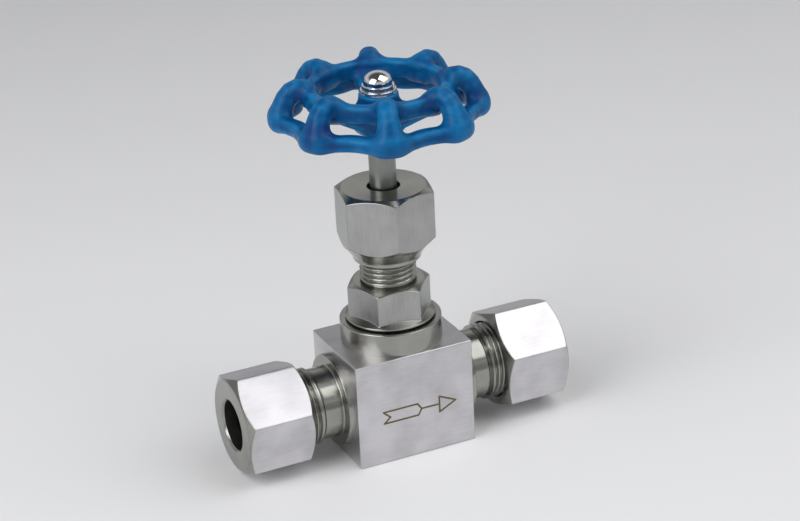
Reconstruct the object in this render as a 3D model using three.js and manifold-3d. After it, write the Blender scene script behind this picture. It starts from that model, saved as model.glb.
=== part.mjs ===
// Needle valve with a round-topped square body, screwed bonnet, rising stem, eight-lobed handwheel
// and two bite-type tube fittings. Millimetres, +Z up along the stem, +X along the pipe towards
// the outlet. The origin is the centre of the body's underside.
import * as THREE from 'three';
import { mergeVertices } from 'three/addons/utils/BufferGeometryUtils.js';
import Module from 'manifold-3d';

const wasm = await Module();
wasm.setup();

// ---- Driving dimensions -------------------------------------------------------------------

// Running and seating clearances
const FIT = 0.15;              // radial play of a piece that slides or turns in another
const THREAD_PLAY = 0.3;       // radial play between an external and an internal thread
const SEAT_GAP = 0.3;          // gap left where one cone rests in another
const SCREW_PITCH = 1.5;       // every thread of the valve
const RIB_DEPTH = 0.8;         // depth of a thread groove

// Body
const BODY_WIDTH = 36;         // along the pipe
const BODY_DEPTH = 29.5;
const BODY_HEIGHT = 31.5;
const BODY_EDGE = 0.6;         // chamfer of the block's edges
const PIPE_HEIGHT = 16;        // pipe axis above the underside
const BOSS_RADIUS = 14.45;
const BOSS_HEIGHT = 6.7;
const DISC_RADIUS = 13.3;      // round disc on each side face
const DISC_LENGTH = 2;
const NECK_RADIUS = 10;
const NECK_LENGTH = 4;
const RELIEF_LENGTH = 1;
const UNION_THREAD_RADIUS = 11;
const STUB_END = 40;           // end of each threaded neck, from the stem's axis
const FLOW_RADIUS = 2.5;       // nominal bore of the valve
const SEAT_HEIGHT = 20.5;
const CHAMBER_RADIUS = 7;
const CHAMBER_TOP = 26;

// Tube fittings
const TUBE_RADIUS = 7;
const SOCKET_START = 32;       // bottom of the tube's socket, from the stem's axis
const STUB_CONE = 12;          // half angle of the socket's cone, degrees
const STUB_CONE_LENGTH = 5;
const UNION_FLATS = 27;
const UNION_LENGTH = 20;
const UNION_START = 30;        // inner face of each union nut, from the stem's axis
const UNION_SHOULDER = 13.5;   // from the inner face to the start of the inner cone
const UNION_MOUTH = 0.6;       // chamfer of the nut's outer bore
const UNION_TURN_INLET = 18.1; // hexagon's turn about the pipe axis, degrees
const UNION_TURN_OUTLET = 20.4;
const HEX_CHAMFER = 30;        // degrees

// Bonnet
const BONNET_THREAD_RADIUS = 10;
const BONNET_SHANK_BOTTOM = 26.5;
const BONNET_COLLAR_RADIUS = 12.8;
const BONNET_COLLAR_HEIGHT = 0.5;
const BONNET_TAPER_HEIGHT = 1.1;
const BONNET_FLATS = 21;
const BONNET_HEX_HEIGHT = 9.2;
const BONNET_TURN = 50.7;      // hexagon's turn about the stem, degrees
const GASKET_THICKNESS = 0.5;
const NECK_THREAD_RADIUS = 8;
const NECK_TOP = 70;
const PACKING_BORE = 6.3;
const PACKING_BOTTOM = 58;
const BACK_SEAT_THICKNESS = 1.5;

// Packing
const PACKING_RINGS = 4;
const PACKING_RING_HEIGHT = 2.2;
const PACKING_WASHER_HEIGHT = 1;
const GLAND_NOSE_HEIGHT = 3.6;
const GLAND_FLANGE_RADIUS = 7.3;
const GLAND_FLANGE_HEIGHT = 1.8;
const PACKING_NUT_FLATS = 25;
const PACKING_NUT_BOTTOM = 56.4;
const PACKING_NUT_COLLAR_RADIUS = 9.64;
const PACKING_NUT_COLLAR_TOP_RADIUS = 12.1;
const PACKING_NUT_COLLAR_HEIGHT = 4.4;
const PACKING_NUT_HEIGHT = 21.1;
const PACKING_NUT_HOLE = 4.6;
const PACKING_NUT_TURN = 19.4; // hexagon's turn about the stem, degrees

// Stem and needle
const STEM_RADIUS = 3.75;
const STEM_THREAD_RADIUS = 5;
const STEM_THREAD_BOTTOM = 38;
const STEM_THREAD_LENGTH = 12;
const STEM_BUTTON_RADIUS = 3.2;
const STEM_BUTTON_HEIGHT = 2;
const STEM_WAIST_RADIUS = 2.3;
const NEEDLE_RADIUS = 4.2;
const NEEDLE_HALF_ANGLE = 20;  // degrees
const NEEDLE_TIP_RADIUS = 0.6;
const NEEDLE_TOP = 34;
const NEEDLE_LIP = 1.5;        // wall that holds the stem's button in the needle
const SQUARE_SIDE = 5.6;
const SCREW_RADIUS = 2.5;      // the thread at the stem's top

// Handwheel
const HUB_RADIUS = 5.5;
const HUB_BOTTOM = 94;
const HUB_TOP = 104.8;
const WHEEL_RADIUS = 30;
const WHEEL_VALLEY_RADIUS = 26.8;
const BAND_WIDTH = 4.6;
const BAND_BOTTOM = 97;
const BAND_HEIGHT = 4.2;
const RING_RADIUS = 18.8;      // middle of the upper ring's wall
const RING_WALL = 3;
const RING_BOTTOM = 103.3;
const RING_TOP = 107.8;
const LOBES = 8;
const LOBE_TOP = 110.2;
const LOBE_WIDTH = 5.6;
const LOBE_THICKNESS = 5.8;
const LOBE_TURN = 26.3;        // turn of the first lobe about the stem, degrees
const SPOKES = 3;
const SPOKE_WIDTH = 7;
const SPOKE_HUB_BOTTOM = 95;   // the spoke's side narrows from the hub to the ring
const SPOKE_HUB_TOP = 101.5;
const SPOKE_RING_DROP = 1.1;   // how far its underside lies below the ring
const SPOKE_RING_RISE = 1.4;   // how far its top lies above the ring's underside
const SPOKE_TURN = 71.3;       // turn of the first spoke about the stem, degrees

// Wheel fastening
const WASHER_RADIUS = 5.05;
const WASHER_THICKNESS = 1;
const SPRING_RADIUS = 4.5;
const SPRING_THICKNESS = 1.2;
const SPRING_SPLIT = 1;        // width of the spring washer's split
const SPRING_SPLIT_TURN = -50; // degrees about the stem
const DOME_RADIUS = 3.95;
const DOME_HEIGHT = 3.7;
const DOME_FLATS = 7.2;
const DOME_FLATS_HEIGHT = 1.3;

// Facets
const SIDES = 32;
const SMALL_SIDES = 16;

// ---- Values that follow from them ---------------------------------------------------------

const BOSS_TOP = BODY_HEIGHT + BOSS_HEIGHT;
const COLLAR_BOTTOM = BOSS_TOP + GASKET_THICKNESS;
const BONNET_HEX_BOTTOM = COLLAR_BOTTOM + BONNET_COLLAR_HEIGHT + BONNET_TAPER_HEIGHT;
const BONNET_HEX_TOP = BONNET_HEX_BOTTOM + BONNET_HEX_HEIGHT;
const BACK_SEAT_BOTTOM = PACKING_BOTTOM - BACK_SEAT_THICKNESS;
const RINGS_BOTTOM = PACKING_BOTTOM + PACKING_WASHER_HEIGHT;
const GLAND_BOTTOM = RINGS_BOTTOM + PACKING_RINGS * PACKING_RING_HEIGHT;
const GLAND_FLANGE_BOTTOM = GLAND_BOTTOM + GLAND_NOSE_HEIGHT;
const GLAND_TOP = GLAND_FLANGE_BOTTOM + GLAND_FLANGE_HEIGHT;
const PACKING_NUT_TOP = PACKING_NUT_BOTTOM + PACKING_NUT_HEIGHT;
const SOCKET_RADIUS = TUBE_RADIUS + FIT;
const FLAT_WASHER_TOP = HUB_TOP + WASHER_THICKNESS;
const SPRING_TOP = FLAT_WASHER_TOP + SPRING_THICKNESS;
const NECK_END = BODY_WIDTH / 2 + DISC_LENGTH + NECK_LENGTH;
const THREAD_START = NECK_END + RELIEF_LENGTH;
const STUB_MOUTH_RADIUS = SOCKET_RADIUS + STUB_CONE_LENGTH * Math.tan(radians(STUB_CONE));

function radians(degrees) {
  return degrees * Math.PI / 180;
}

// ---- Solids -------------------------------------------------------------------------------

// A closed three.js geometry as a solid. Shared corners are merged, slivers are dropped, and the
// faces are turned outwards if the enclosed volume comes out negative.
function toSolid(geometry) {
  const bare = geometry.clone();
  bare.deleteAttribute('normal');
  bare.deleteAttribute('uv');
  const welded = mergeVertices(bare, 1e-4);
  const points = welded.attributes.position;
  const corners = [];
  const a = new THREE.Vector3();
  const b = new THREE.Vector3();
  const c = new THREE.Vector3();
  let volume = 0;
  for (let i = 0; i < welded.index.count; i += 3) {
    const face = [0, 1, 2].map((k) => welded.index.getX(i + k));
    if (new Set(face).size < 3) {
      continue;
    }
    a.fromBufferAttribute(points, face[0]);
    b.fromBufferAttribute(points, face[1]);
    c.fromBufferAttribute(points, face[2]);
    volume += a.dot(b.cross(c));
    corners.push(face);
  }
  const outward = volume > 0 ? corners : corners.map(([p, q, r]) => [p, r, q]);
  return new wasm.Manifold(new wasm.Mesh({
    numProp: 3,
    vertProperties: Float32Array.from(points.array),
    triVerts: Uint32Array.from(outward.flat()),
  }));
}

function joined(solids) {
  return solids.reduce((sum, solid) => sum.add(solid));
}

function cut(solid, tools) {
  return tools.reduce((rest, tool) => rest.subtract(tool), solid);
}

// A closed [radius, height] outline turned about Z.
function turned(outline, sides = SIDES) {
  const loop = [...outline, outline[0]].map(([r, z]) => new THREE.Vector2(r, z));
  return new THREE.LatheGeometry(loop, sides).rotateX(Math.PI / 2);
}

// A plain rod or disc about Z between two heights.
function rod(radius, bottom, top, sides = SIDES) {
  return turned([[0, bottom], [radius, bottom], [radius, top], [0, top]], sides);
}

// A geometry made about Z, laid along +X.
function alongX(geometry) {
  return geometry.rotateY(Math.PI / 2);
}

function prism(shape, bottom, top) {
  const settings = { depth: top - bottom, bevelEnabled: false, curveSegments: 12 };
  return new THREE.ExtrudeGeometry(shape, settings).translate(0, 0, bottom);
}

function polygon(points) {
  return new THREE.Shape(points.map(([x, y]) => new THREE.Vector2(x, y)));
}

function hexagon(flats, turn = 0) {
  const radius = flats / Math.sqrt(3);
  const corner = (k) => radians(60 * k + turn);
  const at = (k) => [radius * Math.cos(corner(k)), radius * Math.sin(corner(k))];
  return polygon([0, 1, 2, 3, 4, 5].map(at));
}

// A hexagon bar whose corners are turned down at the ends asked for.
function hexBar(flats, bottom, top, turn, ends) {
  const corner = flats / Math.sqrt(3) + 0.01;
  const face = flats / 2 * 0.95;
  const drop = (corner - face) * Math.tan(radians(HEX_CHAMFER));
  const low = ends.bottom ? [[face, bottom], [corner, bottom + drop]] : [[corner, bottom]];
  const high = ends.top ? [[corner, top - drop], [face, top]] : [[corner, top]];
  const envelope = toSolid(turned([[0, bottom], ...low, ...high, [0, top]], SIDES));
  return toSolid(prism(hexagon(flats, turn), bottom, top)).intersect(envelope);
}

// The outline of an external thread as plain V grooves, from one height to another.
function grooves(radius, bottom, top) {
  const points = [];
  const turns = Math.floor((top - bottom) / SCREW_PITCH);
  for (let k = 0; k < turns; k += 1) {
    const z = bottom + k * SCREW_PITCH;
    points.push([radius, z + SCREW_PITCH * 0.25]);
    points.push([radius - RIB_DEPTH, z + SCREW_PITCH * 0.75]);
  }
  return points;
}

// ---- Body ---------------------------------------------------------------------------------

// One side's round neck along +X: disc, smooth neck, relief and external thread. The grooves run
// a little way into the nut, and the rest of the thread is left plain at its crest radius.
function stubOutline() {
  const start = BODY_WIDTH / 2 - 1;
  const relief = UNION_THREAD_RADIUS - RIB_DEPTH * 1.5;
  const groovesEnd = UNION_START + SCREW_PITCH;
  return [
    [0, start],
    [DISC_RADIUS, start],
    [DISC_RADIUS, BODY_WIDTH / 2 + DISC_LENGTH],
    [NECK_RADIUS, BODY_WIDTH / 2 + DISC_LENGTH],
    [NECK_RADIUS, NECK_END],
    [relief, NECK_END],
    [relief, THREAD_START],
    ...grooves(UNION_THREAD_RADIUS, THREAD_START, groovesEnd),
    [UNION_THREAD_RADIUS, groovesEnd],
    [UNION_THREAD_RADIUS, STUB_END - 1],
    [UNION_THREAD_RADIUS - 1, STUB_END],
    [0, STUB_END],
  ];
}

// The tube's socket along +X, open at the neck's end.
function socketOutline() {
  const mouth = STUB_END + 1;
  return [
    [0, SOCKET_START],
    [SOCKET_RADIUS, SOCKET_START],
    [SOCKET_RADIUS, STUB_END - STUB_CONE_LENGTH],
    [STUB_MOUTH_RADIUS, STUB_END],
    [STUB_MOUTH_RADIUS, mouth],
    [0, mouth],
  ];
}

// The block with every edge chamfered: three crossed prisms.
function block() {
  const w = BODY_WIDTH / 2;
  const d = BODY_DEPTH / 2;
  const h = BODY_HEIGHT / 2;
  const e = BODY_EDGE;
  const octagon = (x, y) => polygon([
    [x - e, -y], [x, e - y], [x, y - e], [x - e, y],
    [e - x, y], [-x, y - e], [-x, e - y], [e - x, -y],
  ]);
  const plan = prism(octagon(w, d), -h, h);
  const front = prism(octagon(w, h), -d, d).rotateX(Math.PI / 2);
  const side = prism(octagon(h, d), -w, w).rotateY(Math.PI / 2);
  const solids = [plan, front, side].map((geometry) => toSolid(geometry.translate(0, 0, h)));
  return solids[0].intersect(solids[1]).intersect(solids[2]);
}

function valveBody() {
  const overlap = 1;
  const boss = toSolid(rod(BOSS_RADIUS, BODY_HEIGHT - overlap, BOSS_TOP));
  const stub = () => alongX(turned(stubOutline()));
  const socket = () => alongX(turned(socketOutline()));
  const lift = (geometry) => toSolid(geometry.translate(0, 0, PIPE_HEIGHT));
  const flip = (geometry) => geometry.rotateZ(Math.PI);
  const solid = joined([block(), boss, lift(stub()), lift(flip(stub()))]);

  const bonnetBore = BONNET_THREAD_RADIUS + THREAD_PLAY;
  const seatMouth = FLOW_RADIUS + 1;
  const stemBore = turned([
    [0, PIPE_HEIGHT - FLOW_RADIUS],
    [FLOW_RADIUS, PIPE_HEIGHT - FLOW_RADIUS],
    [FLOW_RADIUS, SEAT_HEIGHT],
    [seatMouth, SEAT_HEIGHT + 1],
    [CHAMBER_RADIUS, SEAT_HEIGHT + 1],
    [CHAMBER_RADIUS, CHAMBER_TOP],
    [bonnetBore, CHAMBER_TOP],
    [bonnetBore, BOSS_TOP + overlap],
    [0, BOSS_TOP + overlap],
  ]);
  const inletLength = SOCKET_START + overlap;
  const inlet = alongX(rod(FLOW_RADIUS, -inletLength, 0, SMALL_SIDES));
  const outletRise = SEAT_HEIGHT + 1 + FLOW_RADIUS - PIPE_HEIGHT;
  const outletRun = BODY_WIDTH / 2 + DISC_LENGTH;
  const outletTilt = Math.atan2(outletRise, outletRun);
  const outletLength = Math.hypot(outletRise, outletRun);
  const outletSlant = alongX(rod(FLOW_RADIUS, 0, outletLength, SMALL_SIDES))
    .rotateY(outletTilt)
    .translate(0, 0, outletRise);
  const outletStraight = alongX(rod(FLOW_RADIUS, outletRun - overlap, inletLength, SMALL_SIDES));
  return cut(solid, [
    toSolid(stemBore),
    lift(socket()),
    lift(flip(socket())),
    lift(inlet),
    lift(outletSlant),
    lift(outletStraight),
  ]);
}

// ---- Bonnet and packing -------------------------------------------------------------------

function bonnet() {
  const shank = BONNET_THREAD_RADIUS;
  const relief = NECK_THREAD_RADIUS - RIB_DEPTH;
  const reliefTop = BONNET_HEX_TOP + SCREW_PITCH * 0.5;
  const outside = toSolid(turned([
    [0, BONNET_SHANK_BOTTOM],
    [shank - 1, BONNET_SHANK_BOTTOM],
    [shank, BONNET_SHANK_BOTTOM + 1],
    [shank, COLLAR_BOTTOM],
    [BONNET_COLLAR_RADIUS, COLLAR_BOTTOM],
    [BONNET_COLLAR_RADIUS, COLLAR_BOTTOM + BONNET_COLLAR_HEIGHT],
    [BONNET_FLATS / 2, BONNET_HEX_BOTTOM],
    [BONNET_FLATS / 2, BONNET_HEX_TOP - 1],
    [relief, BONNET_HEX_TOP - 1],
    [relief, reliefTop],
    ...grooves(NECK_THREAD_RADIUS, reliefTop, PACKING_BOTTOM),
    [NECK_THREAD_RADIUS, PACKING_BOTTOM],
    [NECK_THREAD_RADIUS, NECK_TOP - 0.5],
    [NECK_THREAD_RADIUS - 0.5, NECK_TOP],
    [0, NECK_TOP],
  ]));
  const hexBottom = COLLAR_BOTTOM + BONNET_COLLAR_HEIGHT;
  const ends = { bottom: false, top: true };
  const hex = hexBar(BONNET_FLATS, hexBottom, BONNET_HEX_TOP, BONNET_TURN, ends);
  const guide = NEEDLE_RADIUS + SEAT_GAP;
  const stemBore = STEM_THREAD_RADIUS + FIT;
  const bore = toSolid(turned([
    [0, BONNET_SHANK_BOTTOM - 1],
    [guide, BONNET_SHANK_BOTTOM - 1],
    [guide, STEM_THREAD_BOTTOM - 1],
    [stemBore, STEM_THREAD_BOTTOM - 1],
    [stemBore, BACK_SEAT_BOTTOM],
    [STEM_RADIUS + FIT, BACK_SEAT_BOTTOM],
    [STEM_RADIUS + FIT, PACKING_BOTTOM],
    [PACKING_BORE, PACKING_BOTTOM],
    [PACKING_BORE, NECK_TOP + 1],
    [0, NECK_TOP + 1],
  ]));
  return outside.add(hex).subtract(bore);
}

// A flat ring about Z.
function ring(inner, outer, bottom, top, sides = SIDES) {
  return toSolid(turned([[inner, bottom], [outer, bottom], [outer, top], [inner, top]], sides));
}

function bonnetGasket() {
  const inner = BONNET_THREAD_RADIUS + THREAD_PLAY;
  return ring(inner, BONNET_COLLAR_RADIUS - 0.3, BOSS_TOP, COLLAR_BOTTOM);
}

function packingPiece(bottom, height) {
  const side = FIT / 2;
  const sides = SMALL_SIDES;
  return ring(STEM_RADIUS + side, PACKING_BORE - side, bottom, bottom + height, sides);
}

function glandFollower() {
  const inner = STEM_RADIUS + FIT;
  const nose = PACKING_BORE - FIT;
  return toSolid(turned([
    [inner, GLAND_BOTTOM],
    [nose, GLAND_BOTTOM],
    [nose, GLAND_FLANGE_BOTTOM],
    [GLAND_FLANGE_RADIUS, GLAND_FLANGE_BOTTOM],
    [GLAND_FLANGE_RADIUS, GLAND_TOP],
    [inner, GLAND_TOP],
  ], SMALL_SIDES));
}

function packingNut() {
  const hexStart = PACKING_NUT_BOTTOM + PACKING_NUT_COLLAR_HEIGHT;
  const lip = 1;
  const cone = toSolid(turned([
    [0, PACKING_NUT_BOTTOM],
    [PACKING_NUT_COLLAR_RADIUS, PACKING_NUT_BOTTOM],
    [PACKING_NUT_COLLAR_RADIUS, PACKING_NUT_BOTTOM + lip],
    [PACKING_NUT_COLLAR_TOP_RADIUS, hexStart],
    [PACKING_NUT_COLLAR_TOP_RADIUS, hexStart + lip],
    [0, hexStart + lip],
  ]));
  const ends = { bottom: true, top: true };
  const hex = hexBar(PACKING_NUT_FLATS, hexStart, PACKING_NUT_TOP, PACKING_NUT_TURN, ends);
  const threadBore = NECK_THREAD_RADIUS + THREAD_PLAY;
  const bore = toSolid(turned([
    [0, PACKING_NUT_BOTTOM - 1],
    [threadBore, PACKING_NUT_BOTTOM - 1],
    [threadBore, GLAND_TOP],
    [PACKING_NUT_HOLE, GLAND_TOP],
    [PACKING_NUT_HOLE, PACKING_NUT_TOP + 1],
    [0, PACKING_NUT_TOP + 1],
  ]));
  return cone.add(hex).subtract(bore);
}

// ---- Stem and needle ----------------------------------------------------------------------

// The needle's cone, from its blunt tip to its full radius, is set by where it meets the seat.
function needle() {
  const slope = Math.tan(radians(NEEDLE_HALF_ANGLE));
  const apex = SEAT_HEIGHT + SEAT_GAP - FLOW_RADIUS / slope;
  const tip = apex + NEEDLE_TIP_RADIUS / slope;
  const full = apex + NEEDLE_RADIUS / slope;
  const body = turned([
    [0, tip],
    [NEEDLE_TIP_RADIUS, tip],
    [NEEDLE_RADIUS, full],
    [NEEDLE_RADIUS, NEEDLE_TOP],
    [0, NEEDLE_TOP],
  ], SMALL_SIDES);
  const pocketTop = NEEDLE_TOP - NEEDLE_LIP;
  const pocketBottom = pocketTop - STEM_BUTTON_HEIGHT - FIT * 2;
  const pocket = turned([
    [0, pocketBottom],
    [STEM_BUTTON_RADIUS + FIT, pocketBottom],
    [STEM_BUTTON_RADIUS + FIT, pocketTop],
    [STEM_WAIST_RADIUS + FIT, pocketTop],
    [STEM_WAIST_RADIUS + FIT, NEEDLE_TOP + 1],
    [0, NEEDLE_TOP + 1],
  ], SMALL_SIDES);
  return toSolid(body).subtract(toSolid(pocket));
}

function stem() {
  const buttonTop = NEEDLE_TOP - NEEDLE_LIP - FIT;
  const buttonBottom = buttonTop - STEM_BUTTON_HEIGHT;
  const threadTop = STEM_THREAD_BOTTOM + STEM_THREAD_LENGTH;
  const shank = STEM_RADIUS - 0.2;
  const round = toSolid(turned([
    [0, buttonBottom],
    [STEM_BUTTON_RADIUS, buttonBottom],
    [STEM_BUTTON_RADIUS, buttonTop],
    [STEM_WAIST_RADIUS, buttonTop],
    [STEM_WAIST_RADIUS, NEEDLE_TOP + 1],
    [shank, NEEDLE_TOP + 1],
    [shank, STEM_THREAD_BOTTOM],
    ...grooves(STEM_THREAD_RADIUS, STEM_THREAD_BOTTOM, threadTop),
    [shank, threadTop],
    [STEM_RADIUS, threadTop + 1],
    [STEM_RADIUS, HUB_BOTTOM],
    [0, HUB_BOTTOM],
  ], SMALL_SIDES));
  const half = SQUARE_SIDE / 2;
  const square = prism(polygon([[-half, -half], [half, -half], [half, half], [-half, half]]),
    HUB_BOTTOM - 1, HUB_TOP - FIT);
  const squareEnd = toSolid(square.rotateZ(radians(SPOKE_TURN)))
    .intersect(toSolid(rod(STEM_RADIUS, HUB_BOTTOM - 1, HUB_TOP, SMALL_SIDES)));
  const screwTop = SPRING_TOP + DOME_HEIGHT - 1.2;
  const screw = toSolid(rod(SCREW_RADIUS, HUB_BOTTOM, screwTop, SMALL_SIDES));
  return joined([round, squareEnd, screw]);
}

// ---- Handwheel ----------------------------------------------------------------------------

// The band's outline: the outer radius swings evenly between the lobes and the valleys.
function bandOutline(inset) {
  const middle = (WHEEL_RADIUS + WHEEL_VALLEY_RADIUS) / 2 - inset;
  const swing = (WHEEL_RADIUS - WHEEL_VALLEY_RADIUS) / 2;
  const steps = LOBES * 6;
  return Array.from({ length: steps }, (_, k) => {
    const angle = 2 * Math.PI * k / steps;
    const radius = middle + swing * Math.cos(LOBES * (angle - radians(LOBE_TURN)));
    return new THREE.Vector2(radius * Math.cos(angle), radius * Math.sin(angle));
  });
}

function band() {
  const outline = new THREE.Shape(bandOutline(0));
  outline.holes.push(new THREE.Path(bandOutline(BAND_WIDTH)));
  return toSolid(prism(outline, BAND_BOTTOM, BAND_BOTTOM + BAND_HEIGHT));
}

function upperRing() {
  const inner = RING_RADIUS - RING_WALL / 2;
  const outer = RING_RADIUS + RING_WALL / 2;
  const edge = RING_WALL / 4;
  return toSolid(turned([
    [inner + edge, RING_BOTTOM],
    [outer - edge, RING_BOTTOM],
    [outer, RING_BOTTOM + edge],
    [outer, RING_TOP - edge],
    [outer - edge, RING_TOP],
    [inner + edge, RING_TOP],
    [inner, RING_TOP - edge],
    [inner, RING_BOTTOM + edge],
  ], LOBES * 5));
}

// One lobe: a bar with a rounded section that arches from the upper ring down to the band.
function lobe(turn) {
  const crest = LOBE_TOP - LOBE_THICKNESS / 2;
  const foot = WHEEL_RADIUS - LOBE_THICKNESS / 2;
  const path = new THREE.CatmullRomCurve3([
    [RING_RADIUS, RING_BOTTOM + 1.3],
    [RING_RADIUS + 0.7, crest - 0.9],
    [RING_RADIUS + 3, crest],
    [foot - 2.2, crest - 2.1],
    [foot - 0.9, crest - 5.2],
    [foot, BAND_BOTTOM + 0.1],
  ].map(([r, z]) => new THREE.Vector3(r, 0, z)));
  const x = LOBE_THICKNESS / 2;
  const y = LOBE_WIDTH / 2;
  const e = 1.5;
  const section = polygon([
    [x - e, -y], [x, e - y], [x, y - e], [x - e, y],
    [e - x, y], [-x, y - e], [-x, e - y], [e - x, -y],
  ]);
  const bar = new THREE.ExtrudeGeometry(section, { steps: 8, extrudePath: path });
  return toSolid(bar.rotateZ(radians(turn)));
}

// One spoke: a bar that rises from the hub to the upper ring and gets lower on its way.
function spoke(turn) {
  const side = polygon([
    [0, SPOKE_HUB_BOTTOM],
    [HUB_RADIUS, SPOKE_HUB_BOTTOM],
    [RING_RADIUS, RING_BOTTOM - SPOKE_RING_DROP],
    [RING_RADIUS, RING_BOTTOM + SPOKE_RING_RISE],
    [HUB_RADIUS, SPOKE_HUB_TOP],
    [0, SPOKE_HUB_TOP],
  ]);
  const bar = prism(side, -SPOKE_WIDTH / 2, SPOKE_WIDTH / 2).rotateX(Math.PI / 2);
  return toSolid(bar.rotateZ(radians(turn)));
}

function handwheel() {
  const parts = [upperRing(), band(), toSolid(rod(HUB_RADIUS, HUB_BOTTOM, HUB_TOP))];
  for (let k = 0; k < LOBES; k += 1) {
    parts.push(lobe(LOBE_TURN + 360 * k / LOBES));
  }
  for (let k = 0; k < SPOKES; k += 1) {
    parts.push(spoke(SPOKE_TURN + 360 * k / SPOKES));
  }
  const floor = toSolid(rod(WHEEL_RADIUS + 5, BAND_BOTTOM - 10, BAND_BOTTOM));
  const trim = floor.subtract(toSolid(rod(HUB_RADIUS + 2, BAND_BOTTOM - 11, BAND_BOTTOM + 1)));
  const half = SQUARE_SIDE / 2 + FIT;
  const hole = prism(polygon([[-half, -half], [half, -half], [half, half], [-half, half]]),
    HUB_BOTTOM - 1, HUB_TOP + 1).rotateZ(radians(SPOKE_TURN));
  return cut(joined(parts), [trim, toSolid(hole)]);
}

// ---- Wheel fastening ----------------------------------------------------------------------

function flatWasher() {
  return ring(SCREW_RADIUS + FIT, WASHER_RADIUS, HUB_TOP, FLAT_WASHER_TOP, SMALL_SIDES);
}

function springWasher() {
  const coil = ring(SCREW_RADIUS + FIT, SPRING_RADIUS, FLAT_WASHER_TOP, SPRING_TOP, SMALL_SIDES);
  const half = SPRING_SPLIT / 2;
  const slot = prism(polygon([[0, -half], [SPRING_RADIUS + 1, -half],
    [SPRING_RADIUS + 1, half], [0, half]]), FLAT_WASHER_TOP - 1, SPRING_TOP + 1);
  return coil.subtract(toSolid(slot.rotateZ(radians(SPRING_SPLIT_TURN))));
}

function domeNut() {
  const steps = 8;
  const arc = Array.from({ length: steps + 1 }, (_, k) => {
    const angle = Math.PI / 2 * k / steps;
    return [DOME_RADIUS * Math.cos(angle), SPRING_TOP + DOME_HEIGHT * Math.sin(angle)];
  });
  arc[steps][0] = 0;
  const dome = toSolid(turned([[0, SPRING_TOP], ...arc], SMALL_SIDES));
  const collarHeight = SPRING_TOP + DOME_FLATS_HEIGHT;
  const hex = toSolid(prism(hexagon(DOME_FLATS), SPRING_TOP - 1, collarHeight));
  const above = toSolid(rod(DOME_RADIUS + 1, collarHeight, SPRING_TOP + DOME_HEIGHT + 1));
  const screwHole = SCREW_RADIUS + FIT;
  const holeTop = SPRING_TOP + DOME_HEIGHT - 1;
  const hole = toSolid(rod(screwHole, SPRING_TOP - 1, holeTop, SMALL_SIDES));
  return dome.intersect(hex.add(above)).subtract(hole);
}

// ---- Tube fittings ------------------------------------------------------------------------
// Each is made about its own +Z, which points away from the body, with the height counted from
// the stem's axis.

function ferrule() {
  const inner = SOCKET_RADIUS;
  const slope = Math.tan(radians(STUB_CONE));
  const cone = (x) => STUB_MOUTH_RADIUS + (x - STUB_END) * slope - SEAT_GAP;
  const nose = STUB_END - STUB_CONE_LENGTH * 0.5;
  const shoulder = STUB_END + 2;
  const outer = UNION_THREAD_RADIUS - 1.4;
  const backStart = UNION_START + UNION_SHOULDER - SEAT_GAP * 1.5;
  const back = backStart + outer - inner - 0.4;
  return toSolid(turned([
    [inner, nose],
    [cone(nose), nose],
    [cone(shoulder - 1), shoulder - 1],
    [outer, shoulder],
    [outer, backStart],
    [inner + 0.4, back],
    [inner, back],
  ], SIDES));
}

function unionNut(turn) {
  const end = UNION_START + UNION_LENGTH;
  const shoulder = UNION_START + UNION_SHOULDER;
  const bore = UNION_THREAD_RADIUS + THREAD_PLAY;
  const coneTop = UNION_THREAD_RADIUS - 1.4;
  const exit = SOCKET_RADIUS;
  const inside = toSolid(turned([
    [0, UNION_START - 1],
    [bore, UNION_START - 1],
    [bore, shoulder - 1],
    [coneTop, shoulder],
    [exit, shoulder + coneTop - exit],
    [exit, end - UNION_MOUTH],
    [exit + UNION_MOUTH, end],
    [exit + UNION_MOUTH, end + 1],
    [0, end + 1],
  ]));
  const ends = { bottom: true, top: true };
  return hexBar(UNION_FLATS, UNION_START, end, turn, ends).subtract(inside);
}

// ---- Materials and assembly ---------------------------------------------------------------

const finish = (color, roughness, metalness) =>
  new THREE.MeshStandardMaterial({ color, roughness, metalness });

const brushedSteel = finish(0xc3c6cd, 0.32, 1);
const turnedSteel = finish(0xb4b2ad, 0.28, 1);
const innerSteel = finish(0x9a9a98, 0.4, 1);
const chrome = finish(0xe6e8ea, 0.06, 1);
const blueEnamel = finish(0x00599a, 0.3, 0);
const graphite = finish(0x2c2c2e, 0.6, 0);
const copper = finish(0xa0633d, 0.35, 1);

function toGeometry(solid) {
  const mesh = solid.getMesh();
  const geometry = new THREE.BufferGeometry();
  const points = new THREE.BufferAttribute(mesh.vertProperties, 3);
  geometry.setAttribute('position', points);
  geometry.setIndex(new THREE.BufferAttribute(mesh.triVerts, 1));
  geometry.computeVertexNormals();
  return geometry;
}

function piece(name, solid, material) {
  const mesh = new THREE.Mesh(toGeometry(solid), material);
  mesh.name = name;
  return mesh;
}

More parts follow.
